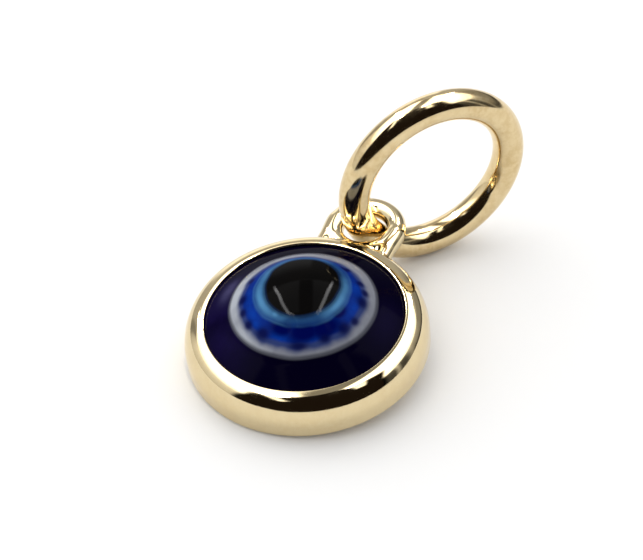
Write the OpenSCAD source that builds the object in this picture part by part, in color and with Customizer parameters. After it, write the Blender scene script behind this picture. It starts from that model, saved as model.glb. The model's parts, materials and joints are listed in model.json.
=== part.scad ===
// Evil eye pendant: a round glass eye in a plain gold setting with a soldered loop, on a closed jump ring.
// Lengths are in millimetres and angles in degrees. The pendant lies on its back on the plane Z = 0, its
// loop towards +Y. The jump ring stands on edge in the loop and holds that end of the setting up.
// The origin is on that plane, below the middle of the whole object.

/* [Setting] */
// Outside diameter of the setting
setting_d = 8; // [7:0.1:14]
// Height of the setting from its back to the top of its lip
setting_h = 1.42; // [1.4:0.02:2]
// Width of the rolled lip, from the outside wall to the opening
lip_w = 0.75; // [0.6:0.05:0.8]
// Rounding of the lip's inner edge
lip_round = 0.06; // [0.02:0.01:0.08]
// Radius of the lip's roll, as a share of the width it has outside its crest
roll_share = 0.87; // [0.85:0.01:0.95]
// Steepness of the outside wall, from upright, where the roll passes into its belly
belly_start = 30; // [25:1:40]
// Depth of the glass below the top of the lip, at the opening
lip_edge = 0.1; // [0.1:0.01:0.3]
// Thickness of the upright wall round the glass
wall_t = 0.4; // [0.25:0.05:0.6]
// Thickness of the closed back
back_t = 0.3; // [0.2:0.05:0.5]
// Rounding of the lower outside edge
edge_r = 0.15; // [0.05:0.01:0.2]
// Gap between the glass and the metal round it
seat_gap = 0.02; // [0.01:0.01:0.05]

/* [Loop] */
// Diameter of the loop's wire
loop_wire_d = 0.65; // [0.4:0.05:0.8]
// Thickness of the loop's two legs, as a share of its wire's thickness
leg_share = 0.9; // [0.7:0.02:0.9]
// Depth of the loop's middle below the top of the lip
loop_level = 0.7; // [0.4:0.05:0.8]
// Room between the loop's wire and the jump ring's wire
loop_play = 0.1; // [0.08:0.01:0.4]
// Room between the setting's wall and the jump ring's wire
wall_play = 0.35; // [0.02:0.01:0.5]

/* [Jump ring] */
// Outside diameter of the jump ring
ring_d = 6.85; // [5.5:0.05:10]
// Diameter of the jump ring's wire
ring_wire_d = 1.05; // [0.7:0.05:1.4]

/* [Glass eye] */
// Radius of the navy glass's dome
dome_r = 6; // [4.5:0.1:12]
// Height of the top of the eye above the lip
eye_h = 1.45; // [1.2:0.05:2]
// Diameter of the black pupil
pupil_d = 2.4; // [1.6:0.05:3.2]
// Width of the pale blue ring
pale_w = 0.33; // [0.1:0.01:0.6]
// Width of the deep blue ring
blue_w = 0.54; // [0.2:0.01:0.9]
// Width of the white ring
white_w = 0.34; // [0.1:0.01:0.6]
// Depth to which each colour of glass is let into the one round it
inlay_t = 0.25; // [0.1:0.05:0.4]
// Gap round each colour of glass
inlay_gap = 0.01; // [0.01:0.01:0.03]

/* [Resting pose] */
// Angle round the jump ring, down from its middle height, at which the loop sits
loop_spot = 33; // [22:0.5:45]
// Turn of the setting's lowest point from the side opposite the loop
low_side = 18; // [0:1:40]
// Turn of the jump ring's plane from the line of the loop
ring_twist = 40; // [0:0.5:45]
// Lean of the jump ring from upright
ring_lean = 4.1; // [0:0.1:5]

/* [Hidden] */
$fn = 96;

gold = [0.89, 0.79, 0.56];
navy = [0.03, 0.02, 0.16];
white_glass = [0.78, 0.79, 0.86];
deep_blue = [0.04, 0.16, 0.66];
pale_blue = [0.27, 0.50, 0.75];
black_glass = [0.03, 0.03, 0.03];

setting_r = setting_d / 2;
opening_r = setting_r - lip_w;
crest_r = opening_r + lip_round;
shoulder_w = setting_r - crest_r;
roll_r = roll_share * shoulder_w;
roll_z = setting_h - roll_r;
join_r = crest_r + roll_r * cos(belly_start);
join_z = roll_z + roll_r * sin(belly_start);
belly_r = (setting_r - join_r) / (1 - cos(belly_start));
belly_z = join_z - belly_r * sin(belly_start);
cavity_r = setting_r - wall_t;
bead_r = cavity_r - seat_gap;

// The navy dome meets the opening just below the lip, and the eye rises from the dome to its own top.
dome_z = setting_h - lip_edge - sqrt(pow(dome_r, 2) - pow(opening_r, 2));
pupil_r = pupil_d / 2;
pale_r = pupil_r + pale_w;
blue_r = pale_r + blue_w;
white_r = blue_r + white_w;
eye_top = setting_h + eye_h;
eye_foot = dome_z + sqrt(pow(dome_r, 2) - pow(white_r, 2));
eye_rise = eye_top - eye_foot;
eye_r = (pow(white_r, 2) + pow(eye_rise, 2)) / (2 * eye_rise);
eye_z = eye_top - eye_r;
function inlay_floor(r) = eye_z + sqrt(pow(eye_r, 2) - pow(r, 2)) - inlay_t;

// The jump ring stands on its edge. The height of the loop on it tilts the setting.
ring_wire_r = ring_wire_d / 2;
ring_r = ring_d / 2 - ring_wire_r;
loop_wire_r = loop_wire_d / 2;
loop_y = setting_r + ring_wire_r + wall_play;
loop_z = setting_h - loop_level;
loop_height = ring_wire_r + ring_r * cos(ring_lean) * (1 - sin(loop_spot));
foot_r = setting_r - edge_r;
tilt_across = loop_y * cos(low_side) + foot_r;
tilt_up = loop_z - edge_r;
tilt = asin((loop_height - edge_r) / norm([tilt_across, tilt_up])) - atan2(tilt_up, tilt_across);
lift = foot_r * sin(tilt) + edge_r * (1 - cos(tilt));

// The ring's wire slants through the loop, so the slant widens the loop.
loop_r = (ring_wire_r + loop_wire_r + loop_play) / cos(loop_spot - tilt);
leg_r = leg_share * loop_wire_r;
leg_x = loop_r + (loop_wire_r - leg_r) / 2;

function turn_x(a, v) = [v.x, v.y * cos(a) - v.z * sin(a), v.y * sin(a) + v.z * cos(a)];
function turn_z(a, v) = [v.x * cos(a) - v.y * sin(a), v.x * sin(a) + v.y * cos(a), v.z];
function settled(v) = turn_z(-low_side, turn_x(tilt, turn_z(low_side, v))) + [0, 0, lift];
function on_ring(v) = turn_z(90 - ring_twist, turn_x(ring_lean, v));
ring_at = settled([0, loop_y, loop_z]) + ring_r * on_ring([cos(loop_spot), 0, sin(loop_spot)]);

// How far the setting and the ring reach, so that the origin lies below the middle of the whole.
lean_x = sin(tilt) * sin(low_side);
lean_y = sin(tilt) * cos(low_side);
function rim_reach(r, z, round_r, lean) = r * sqrt(1 - pow(lean, 2)) + z * lean + round_r;
function belly_reach(lean) = rim_reach(setting_r - belly_r, belly_z, belly_r, lean);
ring_flat = on_ring([1, 0, 0]);
ring_up = on_ring([0, 0, 1]);
ring_reach_x = ring_r * norm([ring_flat.x, ring_up.x]) + ring_wire_r;
ring_reach_y = ring_r * norm([ring_flat.y, ring_up.y]) + ring_wire_r;
x_low = min(-belly_reach(lean_x), ring_at.x - ring_reach_x);
x_high = max(rim_reach(foot_r, edge_r, edge_r, -lean_x), ring_at.x + ring_reach_x);
y_low = -belly_reach(lean_y);
y_high = ring_at.y + ring_reach_y;
middle = [(x_low + x_high) / 2, (y_low + y_high) / 2, 0];

// Overshoot of a cut past the face it opens
past = 1;

module torus(r, wire_r) {
    rotate_extrude() translate([r, 0]) circle(wire_r);
}

// Puts what is drawn on the setting's own axis, with its back at height 0, into the resting pose.
module settle() {
    translate([0, 0, lift] - middle)
        rotate([0, 0, -low_side])
        rotate([tilt, 0, 0])
        rotate([0, 0, low_side])
        children();
}

module rounded_rim(r, z, round_r) {
    translate([r, z]) circle(round_r);
}

// The part of the disc with the radius round_r that lies between two heights.
module rim_band(r, z, round_r, low_z, high_z) {
    intersection() {
        rounded_rim(r, z, round_r);
        translate([0, low_z]) square([setting_r, high_z - low_z]);
    }
}

// Half of the setting's outline: rounded foot, upright wall, belly, and the roll of the lip.
module setting_outline() {
    square([foot_r, belly_z]);
    translate([0, edge_r]) square([setting_r, belly_z - edge_r]);
    rounded_rim(foot_r, edge_r, edge_r);
    rim_band(setting_r - belly_r, belly_z, belly_r, belly_z, join_z);
    rim_band(crest_r, roll_z, roll_r, join_z, setting_h);
    square([crest_r, setting_h - lip_round]);
    rounded_rim(crest_r, setting_h - lip_round, lip_round);
}

// The hollow that the glass fills, with the lip closing in over the glass's shoulder.
module setting_hollow() {
    intersection() {
        translate([0, 0, back_t]) cylinder(r = cavity_r, h = setting_h);
        translate([0, 0, dome_z]) sphere(dome_r + seat_gap);
    }
    translate([0, 0, back_t]) cylinder(r = opening_r, h = setting_h - back_t + past);
}

// A ring of wire sunk into the wall, and the two straight legs that fill the corners beside it.
module loop() {
    torus(loop_r, loop_wire_r);
    for (side = [-leg_x, leg_x])
        translate([side, 0, 0]) rotate([90, 0, 0]) cylinder(r = leg_r, h = loop_y - crest_r);
}

module setting() {
    color(gold) settle() difference() {
        union() {
            rotate_extrude() setting_outline();
            translate([0, loop_y, loop_z]) loop();
        }
        setting_hollow();
    }
}

module jump_ring() {
    color(gold)
        translate(ring_at - middle)
        rotate([0, 0, 90 - ring_twist])
        rotate([90 + ring_lean, 0, 0])
        torus(ring_r, ring_wire_r);
}

// The part of the raised eye inside the radius r, down to its seat in the glass round it.
module eye_layer(r) {
    intersection() {
        translate([0, 0, eye_z]) sphere(eye_r);
        translate([0, 0, inlay_floor(r)]) cylinder(r = r, h = eye_top);
    }
}

// The pocket for a layer of radius r: flush with its seat and a little wider than the layer.
module layer_pocket(r) {
    translate([0, 0, inlay_floor(r)]) cylinder(r = r + inlay_gap, h = eye_top);
}

module eye_ring(r, inner_r, glass) {
    color(glass) settle() difference() {
        eye_layer(r);
        layer_pocket(inner_r);
    }
}

module glass_bead() {
    color(navy) settle() difference() {
        intersection() {
            translate([0, 0, dome_z]) sphere(dome_r);
            translate([0, 0, back_t]) cylinder(r = bead_r, h = eye_top);
        }
        layer_pocket(white_r);
    }
}

module white_ring() {
    eye_ring(white_r, blue_r, white_glass);
}

module blue_ring() {
    eye_ring(blue_r, pale_r, deep_blue);
}

module pale_ring() {
    eye_ring(pale_r, pupil_r, pale_blue);
}

module pupil() {
    color(black_glass) settle() eye_layer(pupil_r);
}

setting();
jump_ring();
glass_bead();
white_ring();
blue_ring();
pale_ring();
pupil();
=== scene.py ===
"""Evil eye pendant: the looks of the gold, the glass and the studio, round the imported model."""
import json
import math

import bpy
import numpy as np
from mathutils import Matrix, Vector

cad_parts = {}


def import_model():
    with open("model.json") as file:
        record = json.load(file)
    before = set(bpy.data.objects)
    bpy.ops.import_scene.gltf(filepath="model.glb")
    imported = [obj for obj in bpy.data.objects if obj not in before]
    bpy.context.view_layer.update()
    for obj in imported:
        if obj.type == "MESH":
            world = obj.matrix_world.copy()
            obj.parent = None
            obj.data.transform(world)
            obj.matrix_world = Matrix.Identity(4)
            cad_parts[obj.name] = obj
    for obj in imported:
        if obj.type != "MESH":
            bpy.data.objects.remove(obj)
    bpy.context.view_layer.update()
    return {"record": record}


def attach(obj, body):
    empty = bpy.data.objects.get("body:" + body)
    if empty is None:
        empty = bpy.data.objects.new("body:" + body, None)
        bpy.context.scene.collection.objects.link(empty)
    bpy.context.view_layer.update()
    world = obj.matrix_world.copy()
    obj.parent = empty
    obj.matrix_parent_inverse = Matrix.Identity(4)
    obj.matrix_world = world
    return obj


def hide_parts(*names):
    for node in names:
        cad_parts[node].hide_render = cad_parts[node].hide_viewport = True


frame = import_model()

# Sizes on the object are in millimetres, and MM turns them into the scene's metres.
MM = 0.001


def place_of(mount_name, sign):
    """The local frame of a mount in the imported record, its Z along the mount's axis."""
    mounts = {m["name"]: m for m in frame["record"]["mounts"]}
    mount = mounts[mount_name]
    axis = sign * Vector(mount["axis"]).normalized()
    turn = Vector((0, 0, 1)).rotation_difference(axis)
    return Matrix.Translation(mount["pos_m"]) @ turn.to_matrix().to_4x4()


SETTING_PLACE = place_of("back", -1)
RING_PLACE = place_of("chain_ring", 1)

# How far the jump ring tilts the setting
TILT = SETTING_PLACE.to_quaternion().angle

# Setting. ROLL_SHARE is of the width outside the lip's crest, and BELLY_START an angle in degrees from level.
SETTING_R = 4.0
SETTING_H = 1.42
LIP_W = 0.75
LIP_ROUND = 0.06
LIP_EDGE = 0.1
WALL_T = 0.4
BACK_T = 0.3
EDGE_R = 0.15
SEAT_GAP = 0.02
ROLL_SHARE = 0.87
BELLY_START = 30
OPENING_R = SETTING_R - LIP_W
CREST_R = OPENING_R + LIP_ROUND
ROLL_R = ROLL_SHARE * (SETTING_R - CREST_R)
ROLL_Z = SETTING_H - ROLL_R
JOIN_R = CREST_R + ROLL_R * math.cos(math.radians(BELLY_START))
BELLY_R = (SETTING_R - JOIN_R) / (1 - math.cos(math.radians(BELLY_START)))
BELLY_Z = ROLL_Z - (BELLY_R - ROLL_R) * math.sin(math.radians(BELLY_START))
CAVITY_R = SETTING_R - WALL_T
FOOT_R = SETTING_R - EDGE_R

# Jump ring
RING_R = 2.9
RING_WIRE_R = 0.525

# Loop, soldered to the wall. It sits on the jump ring, LOOP_SPOT degrees round from the ring's middle height
# downwards, where the ring's wire slants through it and widens it. Its radius is rounded, because the record
# rounds the axis that gives the tilt.
LOOP_WIRE_R = 0.325
LEG_SHARE = 0.9
LOOP_LEVEL = 0.7
LOOP_PLAY = 0.1
WALL_PLAY = 0.35
LOOP_SPOT = 33
LOOP_Y = SETTING_R + RING_WIRE_R + WALL_PLAY
LOOP_Z = SETTING_H - LOOP_LEVEL
SLANT = math.radians(LOOP_SPOT) - TILT
LOOP_R = round((RING_WIRE_R + LOOP_WIRE_R + LOOP_PLAY) / math.cos(SLANT), 4)
LEG_R = LEG_SHARE * LOOP_WIRE_R
LEG_X = LOOP_R + (LOOP_WIRE_R - LEG_R) / 2

# Width of the solder fillets: where the loop meets the cup, and between its ring and its legs
SOLDER = 0.08
LEG_SOLDER = 0.16

# Glass: the navy dome, the raised eye on it, and the width of the soft foot where they meet
DOME_R = 6.0
EYE_H = 1.45
EYE_FOOT_R = 2.41
MELT_W = 0.09

# The seat that each colour has in the one round it: where its depth is measured, and that depth
PUPIL_R = 1.20
PALE_R = 1.53
BLUE_R = 2.07
WHITE_R = 2.40
INLAY_T = 0.25

# Heights and radii that follow
DOME_Z = SETTING_H - LIP_EDGE - math.sqrt(DOME_R ** 2 - OPENING_R ** 2)
EYE_TOP = SETTING_H + EYE_H
EYE_FOOT_Z = DOME_Z + math.sqrt(DOME_R ** 2 - EYE_FOOT_R ** 2)
EYE_RISE = EYE_TOP - EYE_FOOT_Z
EYE_R = (EYE_FOOT_R ** 2 + EYE_RISE ** 2) / (2 * EYE_RISE)
EYE_Z = EYE_TOP - EYE_R

# Camera: where it stands in millimetres, and where it looks in degrees
CAMERA_AT = (25.559, -58.204, 54.390)
CAMERA_AZIMUTH = 24.28
CAMERA_ELEVATION = 39.89
CAMERA_ROLL = 0.29
LENS_MM = 139.97
SENSOR_MM = 36


def make_camera():
    azimuth, elevation, roll = map(math.radians, (CAMERA_AZIMUTH, CAMERA_ELEVATION, CAMERA_ROLL))
    ahead = Vector((
        -math.sin(azimuth) * math.cos(elevation),
        math.cos(azimuth) * math.cos(elevation),
        -math.sin(elevation),
    ))
    level = ahead.cross(Vector((0, 0, 1))).normalized()
    down = ahead.cross(level)
    right = math.cos(roll) * level + math.sin(roll) * down
    up = right.cross(ahead)
    data = bpy.data.cameras.new("camera")
    data.lens = LENS_MM
    data.sensor_width = SENSOR_MM
    data.clip_start = 0.005
    data.clip_end = 10
    camera = bpy.data.objects.new("camera", data)
    turn = Matrix((right, up, -ahead)).transposed().to_4x4()
    camera.matrix_world = Matrix.Translation(Vector(CAMERA_AT) * MM) @ turn
    bpy.context.scene.collection.objects.link(camera)
    bpy.context.scene.camera = camera


# Helpers that make meshes

# Angle in degrees between two faces from which their shared edge is sharp
SHARP = 40


def new_object(name, verts, faces, place=None):
    """verts are in millimetres, in the piece's own frame, which place puts into the row frame."""
    mesh = bpy.data.meshes.new(name)
    mesh.from_pydata((np.asarray(verts) * MM).tolist(), [], faces)
    mesh.update()
    mesh.shade_smooth()
    mesh.set_sharp_from_angle(angle=math.radians(SHARP))
    if place is not None:
        mesh.transform(place)
    obj = bpy.data.objects.new(name, mesh)
    bpy.context.scene.collection.objects.link(obj)
    return obj


def dress(obj, material, node):
    """Gives a finished piece its material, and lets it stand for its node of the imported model."""
    obj.data.materials.clear()
    obj.data.materials.append(material)
    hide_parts(node)
    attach(obj, "root")


def add_value(obj, name, values):
    """Stores one number at each vertex, which materials read by its name."""
    attribute = obj.data.attributes.new(name, "FLOAT", "POINT")
    attribute.data.foreach_set("value", np.asarray(values, dtype=np.float32))


def grid_faces(rows, columns, close_rows=False):
    """Quads over a grid of vertices that closes round its columns."""
    faces = []
    for i in range(rows if close_rows else rows - 1):
        a, b = i * columns, (i + 1) % rows * columns
        for j in range(columns):
            k = (j + 1) % columns
            faces.append((a + j, a + k, b + k, b + j))
    return faces


def turned(profile, columns):
    """Closed mesh of revolution. The profile starts and ends on the axis, each with a single point."""
    angle = np.linspace(0, 2 * math.pi, columns, endpoint=False)
    inner = np.array(profile[1:-1])
    ring = np.stack([np.cos(angle), np.sin(angle)], 1)
    verts = [(r * c, r * s, z) for r, z in inner for c, s in ring]
    faces = grid_faces(len(inner), columns)
    first, last = len(verts), len(verts) + 1
    verts += [(0, 0, profile[0][1]), (0, 0, profile[-1][1])]
    tail = (len(inner) - 1) * columns
    for j in range(columns):
        k = (j + 1) % columns
        faces.append((first, k, j))
        faces.append((last, tail + j, tail + k))
    return verts, faces


def torus(radius, wire_r, columns, rows, at=(0, 0, 0)):
    around = np.linspace(0, 2 * math.pi, columns, endpoint=False)
    verts = []
    for t in np.linspace(0, 2 * math.pi, rows, endpoint=False):
        r, z = radius + wire_r * math.cos(t), wire_r * math.sin(t)
        verts += [(at[0] + r * math.cos(a), at[1] + r * math.sin(a), at[2] + z) for a in around]
    return verts, grid_faces(rows, columns, close_rows=True)


def arc(centre_r, centre_z, radius, start, end, steps):
    return [
        (centre_r + radius * math.cos(math.radians(a)), centre_z + radius * math.sin(math.radians(a)))
        for a in np.linspace(start, end, steps)
    ]


def line(a, b, steps):
    """Points from a to b, without b."""
    return [tuple(np.add(a, np.subtract(b, a) * t)) for t in np.linspace(0, 1, steps, endpoint=False)]


def boolean(obj, other, operation):
    """Joins or cuts obj with other, which is then deleted."""
    modifier = obj.modifiers.new("cut", "BOOLEAN")
    modifier.operation = operation
    modifier.solver = "EXACT"
    modifier.object = other
    bpy.context.view_layer.update()
    shown = obj.evaluated_get(bpy.context.evaluated_depsgraph_get())
    made = bpy.data.meshes.new_from_object(shown)
    obj.modifiers.clear()
    obj.data = made
    bpy.data.objects.remove(other)


# Outlines of the cup and of its hollow


def cavity_top(r, gap):
    return DOME_Z + math.sqrt((DOME_R + gap) ** 2 - r ** 2)


def cup_profile():
    """Half of the cup's outline, from the axis below, round the outside and the lip, to the axis inside.

    The last number of each line or arc is how many points it has.
    """
    under_lip = [(r, cavity_top(r, SEAT_GAP)) for r in np.linspace(OPENING_R, CAVITY_R, 6)]
    return (
        line((0, 0), (FOOT_R, 0), 12)
        + arc(FOOT_R, EDGE_R, EDGE_R, -90, 0, 14)[:-1]
        + line((SETTING_R, EDGE_R), (SETTING_R, BELLY_Z), 10)
        + arc(SETTING_R - BELLY_R, BELLY_Z, BELLY_R, 0, BELLY_START, 26)[:-1]
        + arc(CREST_R, ROLL_Z, ROLL_R, BELLY_START, 90, 48)[:-1]
        + arc(CREST_R, SETTING_H - LIP_ROUND, LIP_ROUND, 90, 180, 12)
        + under_lip
        + line((CAVITY_R, BACK_T), (0, BACK_T), 4)
        + [(0, BACK_T)]
    )


def cutter_profile(gap=0.01, top=2):
    """The hollow, larger by the gap and open above the lip, which trims the loop's wire inside the wall."""
    r_in, r_out = OPENING_R + gap, CAVITY_R + gap
    return [
        (0, BACK_T - gap), (r_out, BACK_T - gap), (r_out, cavity_top(r_out, SEAT_GAP + gap)),
        (r_in, cavity_top(r_in, SEAT_GAP + gap)), (r_in, top), (0, top),
    ]


# Distances in millimetres from the parts of the setting, at points p, which shape the solder fillets


def cup_distance(p):
    """Distance from the cup's outside and the face of its lip, without its hollow."""
    r, z = np.hypot(p[:, 0], p[:, 1]), p[:, 2]
    steep = np.degrees(np.arctan2(z - ROLL_Z, r - CREST_R))
    lip = np.hypot(r - CREST_R, z - SETTING_H + LIP_ROUND) - LIP_ROUND
    bands = (
        ((r < CREST_R) & (z > SETTING_H - LIP_ROUND), lip),
        ((r < CREST_R) & (z > ROLL_Z), OPENING_R - r),
        (steep > BELLY_START, np.hypot(r - CREST_R, z - ROLL_Z) - ROLL_R),
        (z > BELLY_Z, np.hypot(r - SETTING_R + BELLY_R, z - BELLY_Z) - BELLY_R),
        (z > EDGE_R, r - SETTING_R),
        (r > FOOT_R, np.hypot(r - FOOT_R, z - EDGE_R) - EDGE_R),
    )
    return np.select([where for where, _ in bands], [distance for _, distance in bands], -z)


def ring_distance(p):
    """Distance from the loop's ring of wire."""
    around = np.hypot(p[:, 0], p[:, 1] - LOOP_Y)
    return np.hypot(around - LOOP_R, p[:, 2] - LOOP_Z) - LOOP_WIRE_R


def legs_distance(p):
    """Distance from the nearer of the loop's two legs, which have round ends here."""
    beyond = np.maximum(p[:, 1] - LOOP_Y, 0) + np.maximum(CREST_R - p[:, 1], 0)
    return np.hypot(np.hypot(np.abs(p[:, 0]) - LEG_X, p[:, 2] - LOOP_Z), beyond) - LEG_R


def joined(a, b, width):
    """Distance from two shapes with a small fillet where they meet."""
    h = np.maximum(width - np.abs(a - b), 0) / width
    return np.minimum(a, b) - h * h * width / 4


def soldered(p):
    """Distance from the whole setting with its fillets, without its hollow."""
    loop = joined(ring_distance(p), legs_distance(p), LEG_SOLDER)
    return joined(cup_distance(p), loop, SOLDER)


def gradient(field, p, step=1e-4):
    """Unit vectors along which the field grows fastest at points p."""
    g = np.stack([field(p + step * e) - field(p - step * e) for e in np.eye(3)], 1)
    return g / np.maximum(np.linalg.norm(g, axis=1), 1e-9)[:, None]


# The setting and the jump ring


def read_coords(mesh):
    co = np.empty(len(mesh.vertices) * 3)
    mesh.vertices.foreach_get("co", co)
    return co.reshape(-1, 3) / MM


def fill_joint(mesh, skin=0.003, rounds=6):
    """Moves the vertices near the joints out onto the fillets, but none that lies deeper than the skin."""
    p = read_coords(mesh)
    parts = np.sort([cup_distance(p), ring_distance(p), legs_distance(p)], axis=0)
    near = (parts[0] > -skin) & (parts[1] - parts[0] < LEG_SOLDER)
    q = p[near]
    for _ in range(rounds):
        q = q - soldered(q)[:, None] * gradient(soldered, q)
    p[near] = q
    mesh.vertices.foreach_set("co", (p * MM).ravel())
    mesh.update()


def true_normals(mesh, field, limit=35, skin=0.02):
    """Gives each corner the exact normal of the field's surface.

    A corner keeps its face's normal where the two differ by more than the limit, in degrees, and where the
    corner lies farther from that surface than the skin.
    """
    p = read_coords(mesh)
    exact = gradient(field, p)
    faces = np.empty(len(mesh.polygons) * 3)
    mesh.polygons.foreach_get("normal", faces)
    faces = faces.reshape(-1, 3)
    totals = np.empty(len(mesh.polygons), dtype=int)
    mesh.polygons.foreach_get("loop_total", totals)
    corner_vertex = np.empty(len(mesh.loops), dtype=int)
    mesh.loops.foreach_get("vertex_index", corner_vertex)
    flat = np.repeat(faces, totals, axis=0)
    smooth = exact[corner_vertex]
    agree = (flat * smooth).sum(1) > math.cos(math.radians(limit))
    off = np.abs(field(p))[corner_vertex] > skin
    normals = np.where((agree & ~off)[:, None], smooth, flat)
    mesh.normals_split_custom_set(normals.tolist())


def make_leg(side, columns=72, rows=40):
    """One straight leg of the loop, closed at both ends."""
    verts = []
    for y in np.linspace(CREST_R, LOOP_Y, rows):
        for t in np.linspace(0, 2 * math.pi, columns, endpoint=False):
            verts.append((side * LEG_X + LEG_R * math.cos(t), y, LOOP_Z + LEG_R * math.sin(t)))
    faces = grid_faces(rows, columns)
    faces.append(tuple(range(columns))[::-1])
    faces.append(tuple(range(len(verts) - columns, len(verts))))
    return new_object("leg", verts, [f[::-1] for f in faces])


def make_setting(material):
    cup = new_object("setting_gold", *turned(cup_profile(), columns=360))
    ring = torus(LOOP_R, LOOP_WIRE_R, columns=240, rows=72, at=(0, LOOP_Y, LOOP_Z))
    loop = new_object("loop", *ring)
    for side in (-1, 1):
        boolean(loop, make_leg(side), "UNION")
    cutter = new_object("cutter", *turned(cutter_profile(), columns=96))
    boolean(loop, cutter, "DIFFERENCE")
    boolean(cup, loop, "UNION")
    fill_joint(cup.data)
    cup.data.shade_smooth()
    true_normals(cup.data, soldered)
    cup.data.transform(SETTING_PLACE)
    dress(cup, material, "setting")


def make_jump_ring(material):
    ring = new_object("jump_ring_gold", *torus(RING_R, RING_WIRE_R, columns=384, rows=96), RING_PLACE)
    dress(ring, material, "jump_ring")


# The glass eye

GLASS_COLUMNS = 480
GLASS_ANGLES = np.linspace(0, 2 * math.pi, GLASS_COLUMNS, endpoint=False)

# Borders between the colours: angle in degrees from the piece's own X, and radius in millimetres
PUPIL_EDGE = (
    (0, 1.22), (30, 1.30), (60, 1.40), (90, 1.43), (120, 1.41), (150, 1.32), (180, 1.17), (210, 1.14),
    (240, 1.17), (270, 1.21), (300, 1.22), (330, 1.22),
)
PALE_EDGE = (
    (0, 1.54), (30, 1.58), (60, 1.62), (90, 1.55), (120, 1.52), (150, 1.53), (180, 1.51), (210, 1.50),
    (240, 1.51), (270, 1.50), (300, 1.49), (330, 1.53),
)
BLUE_EDGE = (
    (0, 2.01), (30, 1.98), (60, 1.84), (90, 1.58), (120, 1.56), (150, 1.69), (180, 1.86), (210, 1.96),
    (240, 2.00), (270, 2.03), (300, 2.04), (330, 2.03),
)
WHITE_EDGE = (
    (0, 2.37), (30, 2.39), (60, 2.43), (90, 2.43), (120, 2.43), (150, 2.44), (180, 2.40), (210, 2.37),
    (240, 2.34), (270, 2.31), (300, 2.30), (330, 2.33),
)

# How softly a border follows the points above, and how far a fleck pushes the blue glass out, as a share of
# the fleck's half width
BORDER_SOFTNESS = 0.05
FLECK_SWELL = 0.1

# Soft spots in the glass: angle, radius, half length along the ring and half width.
# Dark flecks where the blue glass runs into the white
FLECKS = (
    (13, 1.97, 0.25, 0.18), (26, 2.03, 0.17, 0.13), (37, 1.93, 0.15, 0.13), (58, 1.80, 0.12, 0.09),
    (178, 1.80, 0.16, 0.11), (203, 1.90, 0.22, 0.16), (219, 1.95, 0.18, 0.12), (235, 1.98, 0.20, 0.13),
    (254, 1.92, 0.28, 0.19), (291, 2.04, 0.34, 0.12), (316, 1.97, 0.22, 0.13), (337, 1.97, 0.25, 0.18),
    (350, 2.03, 0.17, 0.12),
)

# Where the blue glass is deep and dark, and where it is bright
DEEP_SPOTS = (
    (272, 1.60, 0.50, 0.25), (297, 1.68, 0.62, 0.31), (320, 1.71, 0.62, 0.30), (345, 1.58, 0.34, 0.16),
    (60, 1.72, 0.20, 0.10),
)
BRIGHT_SPOTS = (
    (206, 1.64, 0.35, 0.14), (228, 1.70, 0.40, 0.14), (243, 1.82, 0.24, 0.12), (272, 1.92, 0.30, 0.13),
    (305, 1.95, 0.26, 0.10), (0, 1.80, 0.38, 0.14), (28, 1.74, 0.32, 0.13),
)

# Where the pale glass is dim, and where it is clear
DIM_SPOTS = ((304, 1.38, 0.58, 0.25), (282, 1.42, 0.30, 0.20), (60, 1.45, 0.50, 0.30))
CLEAR_SPOTS = ((222, 1.34, 0.65, 0.10), (255, 1.30, 0.12, 0.08), (352, 1.38, 0.45, 0.10))

# Painted light: spots where the white glass is painted lighter on its lit side, and where the navy glass is
# painted purple on its lit side, faintly on the other, with a pale purple painted reflection
WHITE_PAINTED_LIGHT_SPOTS = ((195, 2.25, 1.3, 0.6), (240, 2.25, 0.8, 0.6))
NAVY_PAINTED_LIGHT_SPOTS = ((195, 2.8, 1.5, 0.9), (225, 2.8, 1.2, 0.7))
NAVY_FAINT_PAINTED_LIGHT_SPOTS = ((8, 2.75, 0.9, 0.5),)
NAVY_PAINTED_REFLECTION_SPOTS = ((180, 2.65, 0.45, 0.20),)


def glass_top(r):
    """Height of the glass: the raised eye on the low dome, melted together in a soft foot."""
    r = np.asarray(r, dtype=float)
    dome = DOME_Z + np.sqrt(DOME_R ** 2 - r ** 2)
    eye = EYE_Z + np.sqrt(np.maximum(EYE_R ** 2 - r ** 2, 0))
    h = np.maximum(MELT_W - np.abs(eye - dome), 0) / MELT_W
    return np.maximum(eye, dome) + h * h * MELT_W / 4


def inlay_floor(r):
    """Height of the seat of the colour whose seat is measured at radius r."""
    return EYE_Z + math.sqrt(EYE_R ** 2 - r ** 2) - INLAY_T


def wobble(seed, amplitude, waves):
    """A soft uneven line round the eye, the same each run."""
    draw = np.random.default_rng(seed)
    total = np.zeros(GLASS_COLUMNS)
    for n in waves:
        total += draw.uniform(0.4, 1) * np.sin(n * GLASS_ANGLES + draw.uniform(0, 2 * math.pi))
    return amplitude * total / len(waves)


def through(knots):
    """A smooth closed line near the knots: each point is a mean of them, weighted by nearness in angle."""
    angles = np.radians([a for a, _ in knots])
    weights = np.exp((np.cos(GLASS_ANGLES[:, None] - angles) - 1) / BORDER_SOFTNESS)
    return weights @ np.array([r for _, r in knots]) / weights.sum(1)


def angle_from(degrees, angles):
    """Angle round the eye from a given place, in degrees either way."""
    return (np.degrees(angles) - degrees + 180) % 360 - 180


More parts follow.
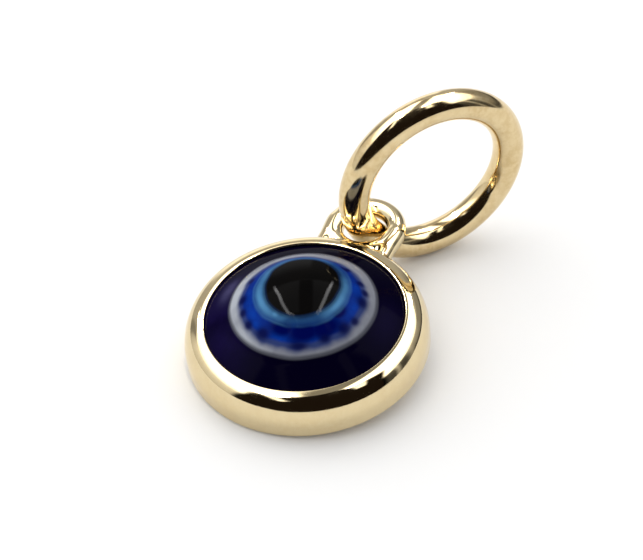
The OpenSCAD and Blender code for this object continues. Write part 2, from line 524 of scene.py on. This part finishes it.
def make_borders():
    """The radius of each border at each angle."""
    pupil = through(PUPIL_EDGE) + wobble(seed=3, amplitude=0.012, waves=(5, 7, 11))
    pale = through(PALE_EDGE) + wobble(seed=5, amplitude=0.03, waves=(4, 9, 13, 21))
    blue = through(BLUE_EDGE) + wobble(seed=7, amplitude=0.02, waves=(9, 14, 23))
    for degrees, radius, along, across in FLECKS:
        away = np.radians(angle_from(degrees, GLASS_ANGLES)) * radius / along
        blue = blue + FLECK_SWELL * across * np.exp(-away ** 2)
    white = through(WHITE_EDGE) + wobble(seed=9, amplitude=0.012, waves=(5, 8, 13))
    return {"pupil": pupil, "pale": pale, "blue": blue, "white": white}


BORDERS = make_borders()


def circle_at(r, z):
    """One point at each angle, at the given radii and heights."""
    x, y = r * np.cos(GLASS_ANGLES), r * np.sin(GLASS_ANGLES)
    return np.stack([x, y, np.broadcast_to(z, x.shape)], 1)


def add_spots(obj, name, radii, spots):
    """Stores how much of each point lies in the soft spots."""
    angles = np.resize(GLASS_ANGLES, len(radii))
    total = np.zeros(len(radii))
    for degrees, radius, along, across in spots:
        away = (np.radians(angle_from(degrees, angles)) * radius / along) ** 2
        total = np.maximum(total, np.exp(-away - ((radii - radius) / across) ** 2))
    add_value(obj, name, total)


def ring_of_glass(name, inner, outer, rows, floor_z):
    """A closed ring of glass between two borders, with its top on the shared surface."""
    inner, outer = BORDERS[inner], BORDERS[outer]
    across = (1 - np.cos(np.linspace(0, math.pi, rows))) / 2
    radii = [inner + (outer - inner) * t for t in across]
    verts = [circle_at(r, glass_top(r)) for r in radii]
    verts += [circle_at(outer, floor_z), circle_at(inner, floor_z)]
    radii = np.concatenate(radii + [outer, inner])
    inner, outer = np.tile(inner, rows + 2), np.tile(outer, rows + 2)
    faces = [f[::-1] for f in grid_faces(rows + 2, GLASS_COLUMNS, close_rows=True)]
    obj = new_object(name, np.concatenate(verts), faces, SETTING_PLACE)
    add_value(obj, "from_inner", radii - inner)
    add_value(obj, "to_outer", outer - radii)
    return obj, radii


def close_with_points(verts, faces, rows, first, last):
    """Adds a middle point to the first and the last circle of a grid, and joins it to them."""
    count = rows * GLASS_COLUMNS
    tail = count - GLASS_COLUMNS
    for j in range(GLASS_COLUMNS):
        k = (j + 1) % GLASS_COLUMNS
        faces.append((count, j, k))
        faces.append((count + 1, tail + k, tail + j))
    return verts + [np.array([[0, 0, float(first)], [0, 0, float(last)]])]


def rounded_shares(steps):
    """Shares from 0 to 1 that lie closer together towards 1."""
    return np.sin(np.linspace(0, math.pi / 2, steps))


def make_navy(material):
    """The navy bead: the seat under the eye, the dome round it, and the flat back."""
    inner = BORDERS["white"]
    edge = np.full(GLASS_COLUMNS, CAVITY_R - SEAT_GAP)
    radii = [inner + (OPENING_R - inner) * t for t in rounded_shares(30)]
    radii += [np.full(GLASS_COLUMNS, r) for r in np.linspace(OPENING_R, edge[0], 5)[1:]]
    seat = inlay_floor(WHITE_R)
    verts = [circle_at(inner, seat)]
    verts += [circle_at(r, glass_top(r)) for r in radii]
    verts += [circle_at(edge, BACK_T)]
    rows = len(verts)
    faces = [f[::-1] for f in grid_faces(rows, GLASS_COLUMNS)]
    verts = close_with_points(verts, faces, rows, seat, BACK_T)
    bead = new_object("navy_bead", np.concatenate(verts), faces, SETTING_PLACE)
    radii = np.concatenate([inner] + radii + [edge])
    add_value(bead, "from_inner", np.append(radii - np.tile(inner, rows), (1.0, 1.0)))
    radii = np.append(radii, (0.0, 0.0))
    # Spots of purple painted light on the navy dome: strong on its lit side, faint on the other side
    add_spots(bead, "navy_painted_light", radii, NAVY_PAINTED_LIGHT_SPOTS)
    add_spots(bead, "faint", radii, NAVY_FAINT_PAINTED_LIGHT_SPOTS)
    # A spot of pale purple painted reflection on the navy dome
    add_spots(bead, "navy_painted_reflection", radii, NAVY_PAINTED_REFLECTION_SPOTS)
    dress(bead, material, "glass_bead")


def make_white(material):
    ring, radii = ring_of_glass("white_ring_glass", "blue", "white", rows=26, floor_z=inlay_floor(WHITE_R))
    add_spots(ring, "fleck", radii, FLECKS)
    # Spots of painted light, where the white glass is painted lighter on its lit side
    add_spots(ring, "white_painted_light", radii, WHITE_PAINTED_LIGHT_SPOTS)
    dress(ring, material, "white_ring")


def make_blue(material):
    ring, radii = ring_of_glass("blue_ring_glass", "pale", "blue", rows=40, floor_z=inlay_floor(BLUE_R))
    add_spots(ring, "fleck", radii, FLECKS)
    add_spots(ring, "deep", radii, DEEP_SPOTS)
    add_spots(ring, "bright", radii, BRIGHT_SPOTS)
    add_spots(ring, "dim", radii, DIM_SPOTS)
    dress(ring, material, "blue_ring")


def make_pale(material):
    ring, radii = ring_of_glass("pale_ring_glass", "pupil", "pale", rows=24, floor_z=inlay_floor(PALE_R))
    add_spots(ring, "dim", radii, DIM_SPOTS)
    add_spots(ring, "deep", radii, DEEP_SPOTS)
    add_spots(ring, "clear", radii, CLEAR_SPOTS)
    dress(ring, material, "pale_ring")


def make_pupil(material):
    outer = BORDERS["pupil"]
    seat = inlay_floor(PUPIL_R)
    radii = [outer * t for t in rounded_shares(44)[1:]]
    verts = [circle_at(r, glass_top(r)) for r in radii] + [circle_at(outer, seat)]
    rows = len(verts)
    faces = [f[::-1] for f in grid_faces(rows, GLASS_COLUMNS)]
    verts = close_with_points(verts, faces, rows, glass_top(0), seat)
    pupil = new_object("pupil_glass", np.concatenate(verts), faces, SETTING_PLACE)
    to_outer = np.tile(outer, rows) - np.concatenate(radii + [outer])
    add_value(pupil, "to_outer", np.append(to_outer, (PUPIL_R, PUPIL_R)))
    dress(pupil, material, "pupil")


# Materials

# The two golds, each with the tint of its stains
SETTING_GOLD = (0.76, 0.63, 0.385)
SETTING_STAIN = (0.72, 0.58, 0.34)
RING_GOLD = (0.77, 0.625, 0.37)
RING_STAIN = (0.64, 0.48, 0.25)

# The glass
NAVY = (0.0010, 0.0004, 0.0075)
# Purple painted light on the lit sides of the navy glass
NAVY_PAINTED_LIGHT = (0.0052, 0.0027, 0.030)
# Pale purple painted reflection on the navy glass
NAVY_PAINTED_REFLECTION = (0.060, 0.055, 0.135)
WHITE = (0.20, 0.21, 0.25)
# A lighter white: painted light in the spots on the white glass's lit side, and a random lighter tone where
# its clouds reach
WHITE_TONE_AND_PAINTED_LIGHT = (0.36, 0.385, 0.43)
BLUE = (0.0025, 0.021, 0.195)
DEEP = (0.0003, 0.0024, 0.070)
BRIGHT = (0.0030, 0.038, 0.31)
FLECK = (0.0020, 0.0035, 0.050)
GREY_BLUE = (0.028, 0.045, 0.150)
PALE = (0.047, 0.150, 0.300)
PALE_CLEAR = (0.075, 0.225, 0.42)
PALE_DEEP = (0.010, 0.045, 0.145)
BLACK = (0.0028, 0.0026, 0.0026)
BROWN_BLACK = (0.0035, 0.0031, 0.0029)

# Gloss of the glass where it faces the viewer, and where it is seen at a slant
GLOSS = 0.010
GLOSS_ASLANT = 0.003


class Nodes:
    """One material, and short calls that add and join its nodes."""

    def __init__(self, name):
        self.material = bpy.data.materials.new(name)
        self.material.use_nodes = True
        self.tree = self.material.node_tree
        self.shader = self.tree.nodes["Principled BSDF"]
        self.place = self.add("ShaderNodeTexCoord").outputs["Object"]

    def add(self, kind, **settings):
        node = self.tree.nodes.new(kind)
        for key, value in settings.items():
            setattr(node, key, value)
        return node

    def join(self, source, socket):
        """Sets a socket to a number or a colour, or links it to another node's output."""
        if isinstance(source, (int, float)):
            socket.default_value = source
        elif isinstance(source, tuple):
            socket.default_value = (*source, 1)
        else:
            self.tree.links.new(source, socket)

    def value(self, name):
        """What add_value stored under this name."""
        return self.add("ShaderNodeAttribute", attribute_name=name).outputs["Fac"]

    def noise(self, scale, detail=2.0, rough=0.5, distort=0.0, stretch=(1, 1, 1)):
        """Noise with about scale features in a millimetre."""
        mapping = self.add("ShaderNodeMapping")
        mapping.inputs["Scale"].default_value = stretch
        self.join(self.place, mapping.inputs["Vector"])
        node = self.add("ShaderNodeTexNoise")
        node.inputs["Scale"].default_value = scale / MM
        node.inputs["Detail"].default_value = detail
        node.inputs["Roughness"].default_value = rough
        node.inputs["Distortion"].default_value = distort
        self.join(mapping.outputs["Vector"], node.inputs["Vector"])
        return node.outputs["Fac"]

    def spread(self, source, low, high, to_low=0.0, to_high=1.0):
        """Turns the range from low to high into the one from to_low to to_high, with soft ends."""
        node = self.add("ShaderNodeMapRange", interpolation_type="SMOOTHSTEP")
        self.join(source, node.inputs["Value"])
        for name, number in zip(("From Min", "From Max", "To Min", "To Max"), (low, high, to_low, to_high)):
            node.inputs[name].default_value = number
        return node.outputs["Result"]

    def math(self, operation, a, b):
        node = self.add("ShaderNodeMath", operation=operation)
        self.join(a, node.inputs[0])
        self.join(b, node.inputs[1])
        return node.outputs[0]

    def mix(self, share, a, b):
        """Colour a with a share of colour b. Sockets 6 and 7 and output 2 are the node's colours."""
        node = self.add("ShaderNodeMix", data_type="RGBA")
        self.join(share, node.inputs[0])
        self.join(a, node.inputs[6])
        self.join(b, node.inputs[7])
        return node.outputs[2]

    def bump(self, height, depth, under=None):
        """A relief, its depth in millimetres, on top of the one under it."""
        node = self.add("ShaderNodeBump")
        node.inputs["Strength"].default_value = 1
        node.inputs["Distance"].default_value = depth * MM
        self.join(height, node.inputs["Height"])
        if under is not None:
            self.join(under, node.inputs["Normal"])
        return node.outputs["Normal"]


def gold_material(name, pale, stain, smooth, rough):
    """Polished pale yellow gold with the faint waves, stains and hair scratches of hand finishing."""
    n = Nodes(name)
    n.shader.inputs["Metallic"].default_value = 1
    clouds = n.spread(n.noise(0.9, detail=3), 0.3, 0.7, 0.4, 1.0)
    specks = n.spread(n.noise(4.0, detail=4, rough=0.65), 0.35, 0.65, 0.3, 1.0)
    n.join(n.mix(n.math("MULTIPLY", clouds, specks), pale, stain), n.shader.inputs["Base Color"])
    haze = n.noise(3.0, detail=4, rough=0.6)
    hair = n.noise(6.0, detail=3, rough=0.7, distort=0.4, stretch=(1, 1, 14))
    dull = n.math("ADD", haze, n.math("MULTIPLY", hair, 0.5))
    n.join(n.spread(dull, 0.5, 1.1, smooth, rough), n.shader.inputs["Roughness"])
    waves = n.bump(n.noise(0.7, detail=1), depth=0.006)
    scratches = n.bump(n.spread(hair, 0.55, 0.75), depth=0.00012, under=waves)
    n.join(scratches, n.shader.inputs["Normal"])
    return n.material


def finish_glass(n, colour):
    """Makes the material an opaque glossy glass of the colour, with faint waves and a few hair scratches."""
    n.join(colour, n.shader.inputs["Base Color"])
    n.shader.inputs["IOR"].default_value = 1.5
    facing = n.add("ShaderNodeLayerWeight").outputs["Facing"]
    n.join(n.spread(facing, 0.45, 0.75, GLOSS, GLOSS_ASLANT), n.shader.inputs["Specular IOR Level"])
    hair = n.noise(9.0, detail=3, rough=0.7, distort=0.5, stretch=(1, 12, 1))
    n.join(n.spread(n.noise(2.5, detail=3), 0.3, 0.7, 0.03, 0.06), n.shader.inputs["Roughness"])
    waves = n.bump(n.noise(1.1), depth=0.002)
    scratches = n.bump(n.spread(hair, 0.6, 0.75), depth=0.00008, under=waves)
    n.join(scratches, n.shader.inputs["Normal"])
    return n.material


def melt(n, colour, attribute, neighbour, width, share, ragged=0.0):
    """Runs the colour into its neighbour's, of which it takes the given share at the border."""
    away = n.value(attribute)
    if ragged:
        away = n.math("ADD", away, n.spread(n.noise(2.2, detail=1), 0.3, 0.7, -ragged, ragged))
    return n.mix(n.spread(away, 0, width, share, 0), colour, neighbour)


def flecked(n, colour):
    """The colour with the dark flecks on it."""
    return n.mix(n.spread(n.value("fleck"), 0, 1, 0, 0.92), colour, FLECK)


def dimmed(n, pale):
    """The pale glass's colour, darker in its dim spots."""
    return n.mix(n.spread(n.value("dim"), 0.05, 0.8, 0, 0.9), pale, PALE_DEEP)


def deepened(n, blue):
    """The blue glass's colour, darker in its deep spots."""
    return n.mix(n.spread(n.value("deep"), 0.05, 0.85), blue, DEEP)


def navy_material():
    n = Nodes("navy_glass")
    cloud = n.spread(n.noise(0.9, detail=3), 0.3, 0.7, 0.6, 1.2)
    # Painted light: the navy dome is painted purple on its lit side, in clouds, and faintly on the other side
    colour = n.mix(n.math("MULTIPLY", n.value("navy_painted_light"), cloud), NAVY, NAVY_PAINTED_LIGHT)
    colour = n.mix(n.math("MULTIPLY", n.value("faint"), 0.45), colour, NAVY_PAINTED_LIGHT)
    # A pale purple painted reflection on the navy dome, in clouds
    colour = n.mix(n.math("MULTIPLY", n.value("navy_painted_reflection"), cloud), colour, NAVY_PAINTED_REFLECTION)
    colour = melt(n, colour, "from_inner", WHITE, width=0.08, share=0.35)
    return finish_glass(n, colour)


def white_material():
    n = Nodes("white_glass")
    cloud = n.spread(n.noise(1.8, detail=3), 0.3, 0.7, -0.15, 0.15)
    # Painted light: the white glass is painted lighter in the spots on its lit side, and clouded a little
    # lighter at random
    colour = n.mix(n.math("ADD", n.value("white_painted_light"), cloud), WHITE, WHITE_TONE_AND_PAINTED_LIGHT)
    colour = melt(n, colour, "from_inner", GREY_BLUE, width=0.22, share=1.0, ragged=0.02)
    colour = melt(n, flecked(n, colour), "to_outer", NAVY, width=0.09, share=0.65)
    return finish_glass(n, colour)


def blue_material():
    n = Nodes("blue_glass")
    cloud = n.spread(n.noise(2.0, detail=3, rough=0.6, distort=0.6), 0.3, 0.7, 0.35, 1.1)
    colour = n.mix(n.math("MULTIPLY", n.value("bright"), cloud), BLUE, BRIGHT)
    veil = n.spread(n.noise(1.6, detail=3, distort=0.5), 0.50, 0.75, 0, 0.4)
    colour = deepened(n, n.mix(veil, colour, DEEP))
    colour = melt(n, colour, "to_outer", GREY_BLUE, width=0.13, share=1.0, ragged=0.01)
    colour = melt(n, flecked(n, colour), "from_inner", dimmed(n, PALE), width=0.10, share=0.5)
    return finish_glass(n, colour)


def pale_material():
    n = Nodes("pale_glass")
    cloud = n.spread(n.noise(1.5, detail=3), 0.3, 0.7, 0, 0.4)
    colour = n.mix(n.value("clear"), n.mix(cloud, PALE, PALE_DEEP), PALE_CLEAR)
    colour = melt(n, dimmed(n, colour), "from_inner", BLACK, width=0.13, share=0.6)
    colour = melt(n, colour, "to_outer", deepened(n, BLUE), width=0.14, share=0.5)
    return finish_glass(n, colour)


def black_material():
    n = Nodes("black_glass")
    colour = n.mix(n.spread(n.noise(1.2, detail=3), 0.3, 0.7), BLACK, BROWN_BLACK)
    colour = melt(n, colour, "to_outer", PALE_DEEP, width=0.09, share=0.4)
    return finish_glass(n, colour)


# The studio: a tent and strip lights that only show in polished surfaces, a soft key light that only falls on
# dull ones, the floor, and the backdrop. Their sizes are in metres.

# Directions are an azimuth from the camera, to its right, and an elevation, in degrees. Places on the tent's
# ceiling are to the right and to the back of the zenith, as shares of its height. An edge is a pair: where it
# starts, and where it is past.
TENT_AWAY = 0.25
TENT_STEP = 2
CEILING_EDGE = (30, 34)

# Brightness of the two side walls, which goes on into the ceiling: elevation and glow
LEFT_WALL = ((0, 0.75), (20, 0.95), (30, 1.2), (36, 2.3), (48, 3.4))
RIGHT_WALL = ((0, 0.50), (15, 0.55), (25, 0.75), (31, 1.1), (36, 2.3), (48, 3.4))

# The grey back, and the brighter window low in it on the left
BACK_GLOW = 0.52
BACK_EDGE = (116, 130)
BACK_CEILING_EDGE = (0.90, 1.02)
WINDOW_GLOW = 1.5
WINDOW_EDGE = (150, 160)
WINDOW_TOP = (12, 32)

# What is darker under the ceiling: a corner at the back on the right, most of all at its foot, and a post on
# the left. A shade is the share of light that it takes.
CORNER_START = (97, 105)
CORNER_END = (150, 165)
CORNER_SHADE = 0.40
CORNER_FOOT = (4, 14)
CORNER_FOOT_SHADE = 0.45
POST_AT = -131
POST_EDGE = (2, 6)
POST_SHADE = 0.45

# The grey seam along the middle of the ceiling
SEAM_AT = -0.06
SEAM_EDGE = (0.10, 0.15)
SEAM_GLOW = 0.30

# The dark opening in front: where it ends on the ceiling, bent forwards beyond a half width, and where it
# ends in azimuth
OPENING_AT = -0.05
OPENING_HALF_W = 0.55
OPENING_BEND = 0.80
OPENING_SOFTNESS = 0.06
OPENING_EDGE = (63, 69)

# The gap in the right wall beside the opening, and the pole in it
GAP_END = (90, 104)
GAP_SHADE = 0.85
POLE_AT = 80
POLE_EDGE = (1, 3)

# Lamps on the ceiling: place to the right, its change towards the back, edge of the width, and front edge
LAMPS = (
    (-0.44, 0.0, (0.04, 0.08), (-0.68, -0.55)),
    (0.15, -0.74, (0.05, 0.10), (-0.50, -0.40)),
)
LAMPS_BACK_EDGE = (0.0, 0.05)
LAMP_GLOW = 2.2

# Strip lights under the ceiling: name, half width, and places along the strip
STRIPS = (
    (
        "left_strip", 0.045,
        ((-0.26, -0.10), (-0.42, 0.0), (-0.53, 0.29), (-0.61, 0.57), (-0.70, 0.80), (-0.84, 1.15)),
    ),
    (
        "right_strip", 0.042,
        ((0.13, -0.10), (0.19, 0.0), (0.28, 0.29), (0.355, 0.57), (0.42, 0.80), (0.50, 1.15)),
    ),
)
STRIP_LIGHT = 110.0
STRIP_AWAY = 0.22

# The soft light on everything dull, and how much more of it comes from behind and from the left
KEY_LIGHT = 1.16
KEY_FROM_BEHIND = 0.7
KEY_FROM_LEFT = 0.25
KEY_AWAY = 1.2 * TENT_AWAY
KEY_STEP = 10

# The floor ends short of the key light's dome, so that it is lit out to its rim.
FLOOR_R = 1.1 * TENT_AWAY
FLOOR_SIDES = 96
FLOOR_WHITE = 0.92

# What the camera sees past the floor, and the faint warm light that fills the shadows
BACKDROP_LIGHT = 1.1
FILL_LIGHT = 0.014
FILL_TINT = (1, 0.7, 0.55, 1)


def from_camera(azimuth, elevation):
    """Unit vector towards a place, by its azimuth from the camera to its right, and its elevation."""
    a, e = math.radians(azimuth + CAMERA_AZIMUTH), math.radians(elevation)
    return Vector((math.sin(a) * math.cos(e), -math.cos(a) * math.cos(e), math.sin(e)))


def past(value, edge):
    """0 before the edge, 1 past it, and a smooth step on it."""
    t = min(max((value - edge[0]) / (edge[1] - edge[0]), 0), 1)
    return t * t * (3 - 2 * t)


def before(value, edge):
    return 1 - past(value, edge)


def on_ceiling(azimuth, elevation):
    """Where a direction meets the ceiling: to the right and to the back."""
    reach = 1 / math.tan(math.radians(max(elevation, 1)))
    turn = math.radians(azimuth)
    return reach * math.sin(turn), -reach * math.cos(turn)


def wall_glow(azimuth, elevation, behind):
    """Brightness of the side walls, and of the back with its window."""
    side = np.interp(elevation, *zip(*(LEFT_WALL if azimuth < 0 else RIGHT_WALL)))
    window = past(-azimuth, WINDOW_EDGE) * before(elevation, WINDOW_TOP)
    back = BACK_GLOW + (WINDOW_GLOW - BACK_GLOW) * window
    return side + (back - side) * behind


def shade(azimuth, elevation):
    """The share of light that the corner and the post leave under the ceiling."""
    low = before(elevation, CEILING_EDGE)
    corner = past(azimuth, CORNER_START) * before(azimuth, CORNER_END) * low
    corner_shade = CORNER_SHADE + CORNER_FOOT_SHADE * before(elevation, CORNER_FOOT)
    post = before(abs(azimuth - POST_AT), POST_EDGE) * low
    return (1 - corner_shade * corner) * (1 - POST_SHADE * post)


def closed(azimuth, elevation):
    """1 where the tent is closed and 0 in its opening, with what the gap beside it leaves between."""
    right, back = on_ceiling(azimuth, elevation)
    near = OPENING_AT - OPENING_BEND * max(abs(right) - OPENING_HALF_W, 0)
    share = past(back, (near - OPENING_SOFTNESS, near + OPENING_SOFTNESS)) * past(abs(azimuth), OPENING_EDGE)
    if azimuth > 0:
        gap = before(azimuth, GAP_END) * past(abs(azimuth - POLE_AT), POLE_EDGE)
        share *= 1 - GAP_SHADE * gap * before(elevation, CEILING_EDGE)
    return share


def lamp_glow(right, back):
    """Brightness of the lamps at a place on the ceiling."""
    shares = [
        before(abs(right - place - slant * back), width) * past(back, front)
        for place, slant, width, front in LAMPS
    ]
    return LAMP_GLOW * max(shares) * before(back, LAMPS_BACK_EDGE)


def tent_glow(azimuth, elevation):
    """Brightness of the tent: open in front, a white wall on either side, grey behind, and lamps above."""
    right, back = on_ceiling(azimuth, elevation)
    high = past(elevation, CEILING_EDGE)
    behind = high * past(back, BACK_CEILING_EDGE) + (1 - high) * past(abs(azimuth), BACK_EDGE)
    glow = wall_glow(azimuth, elevation, behind) * shade(azimuth, elevation)
    glow += (SEAM_GLOW - glow) * before(abs(right - SEAM_AT), SEAM_EDGE) * (1 - behind)
    return max(glow * closed(azimuth, elevation), lamp_glow(right, back))


def key_glow(azimuth, elevation):
    """Brightness of the soft light that falls on everything dull."""
    way = from_camera(azimuth, elevation)
    behind, right = way.dot(from_camera(180, 0)), way.dot(from_camera(90, 0))
    return KEY_LIGHT + KEY_FROM_BEHIND * behind - KEY_FROM_LEFT * right


def glow_material(name, strength):
    """Plain white light, as strong at each point as the mesh's own glow value says."""
    material = bpy.data.materials.new(name)
    material.use_nodes = True
    tree = material.node_tree
    tree.nodes.clear()
    glow = tree.nodes.new("ShaderNodeAttribute")
    glow.attribute_name = "glow"
    total = tree.nodes.new("ShaderNodeMath")
    total.operation = "MULTIPLY"
    total.inputs[1].default_value = strength
    light = tree.nodes.new("ShaderNodeEmission")
    out = tree.nodes.new("ShaderNodeOutputMaterial")
    tree.links.new(glow.outputs["Fac"], total.inputs[0])
    tree.links.new(total.outputs[0], light.inputs["Strength"])
    tree.links.new(light.outputs[0], out.inputs["Surface"])
    return material


def make_lamp(name, verts, faces, glow, strength=1.0, lit=False):
    """A glowing mesh that only lights dull surfaces (lit), or that only shows in polished ones."""
    mesh = bpy.data.meshes.new(name)
    mesh.from_pydata(verts, [], faces)
    mesh.materials.append(glow_material(name, strength))
    obj = bpy.data.objects.new(name, mesh)
    add_value(obj, "glow", glow)
    obj.visible_camera = False
    obj.visible_shadow = False
    obj.visible_transmission = False
    obj.visible_glossy = not lit
    obj.visible_diffuse = lit
    bpy.context.scene.collection.objects.link(obj)


def make_tent(name, glow_at, away, step, lit):
    """Half a sphere round the object, without its dark faces. Its top takes the glow just beside it."""
    azimuths = np.arange(-180, 180, step)
    elevations = np.arange(0, 90, step)
    verts = [from_camera(a, e) * away for e in elevations for a in azimuths] + [Vector((0, 0, away))]
    glow = [glow_at(a, e) for e in elevations for a in azimuths] + [glow_at(0, 89.9)]
    faces = grid_faces(len(elevations), len(azimuths))
    last = len(verts) - 1
    first = last - len(azimuths)
    faces += [(first + i, first + (i + 1) % len(azimuths), last) for i in range(len(azimuths))]
    faces = [f for f in faces if max(glow[i] for i in f) > 0]
    make_lamp(name, verts, faces, glow, lit=lit)


def make_strip(name, half_w, path):
    """A strip light along the path, bright in the middle and fading to its edges and ends."""
    right, back, up = from_camera(90, 0), from_camera(180, 0), Vector((0, 0, 1))
    path = [Vector(p) for p in path]
    shares = (-1, -0.4, 0.4, 1)
    verts, glow = [], []
    for i, at in enumerate(path):
        way = (path[min(i + 1, len(path) - 1)] - path[max(i - 1, 0)]).normalized()
        for share in shares:
            u, v = at + Vector((way.y, -way.x)) * half_w * share
            verts.append((right * u + back * v + up).normalized() * STRIP_AWAY)
            glow.append(0.0 if abs(share) == 1 or i in (0, len(path) - 1) else 1.0)
    columns = len(shares)
    faces = []
    for i in range(len(path) - 1):
        for a in range(i * columns, (i + 1) * columns - 1):
            faces.append((a, a + 1, a + columns + 1, a + columns))
    make_lamp(name, verts, faces, glow, STRIP_LIGHT)


def make_floor():
    verts, faces = [(0, 0, 0)], []
    for i in range(FLOOR_SIDES):
        a = 2 * math.pi * i / FLOOR_SIDES
        verts.append((FLOOR_R * math.cos(a), FLOOR_R * math.sin(a), 0))
        faces.append((0, i + 1, (i + 1) % FLOOR_SIDES + 1))
    mesh = bpy.data.meshes.new("floor")
    mesh.from_pydata(verts, [], faces)
    material = bpy.data.materials.new("floor")
    material.use_nodes = True
    shader = material.node_tree.nodes["Principled BSDF"]
    shader.inputs["Base Color"].default_value = (FLOOR_WHITE, FLOOR_WHITE, FLOOR_WHITE, 1)
    shader.inputs["Roughness"].default_value = 1
    shader.inputs["Specular IOR Level"].default_value = 0
    mesh.materials.append(material)
    obj = bpy.data.objects.new("floor", mesh)
    bpy.context.scene.collection.objects.link(obj)


def make_world():
    """Plain white to the camera, and a faint warm light to everything else."""
    world = bpy.data.worlds.new("studio")
    bpy.context.scene.world = world
    world.use_nodes = True
    tree = world.node_tree
    tree.nodes.clear()
    out = tree.nodes.new("ShaderNodeOutputWorld")
    seen = tree.nodes.new("ShaderNodeBackground")
    seen.inputs["Color"].default_value = (1, 1, 1, 1)
    seen.inputs["Strength"].default_value = BACKDROP_LIGHT
    fill = tree.nodes.new("ShaderNodeBackground")
    fill.inputs["Color"].default_value = FILL_TINT
    fill.inputs["Strength"].default_value = FILL_LIGHT
    path = tree.nodes.new("ShaderNodeLightPath")
    mix = tree.nodes.new("ShaderNodeMixShader")
    tree.links.new(path.outputs["Is Camera Ray"], mix.inputs[0])
    tree.links.new(fill.outputs[0], mix.inputs[1])
    tree.links.new(seen.outputs[0], mix.inputs[2])
    tree.links.new(mix.outputs[0], out.inputs["Surface"])


make_camera()
make_setting(gold_material("gold_setting", SETTING_GOLD, SETTING_STAIN, smooth=0.03, rough=0.09))
make_jump_ring(gold_material("gold_ring", RING_GOLD, RING_STAIN, smooth=0.08, rough=0.16))
make_navy(navy_material())
make_white(white_material())
make_blue(blue_material())
make_pale(pale_material())
make_pupil(black_material())
make_floor()
make_world()
make_tent("tent", tent_glow, TENT_AWAY, TENT_STEP, lit=False)
make_tent("key_light", key_glow, KEY_AWAY, KEY_STEP, lit=True)
for strip in STRIPS:
    make_strip(*strip)
bpy.context.scene.view_settings.view_transform = "Standard"
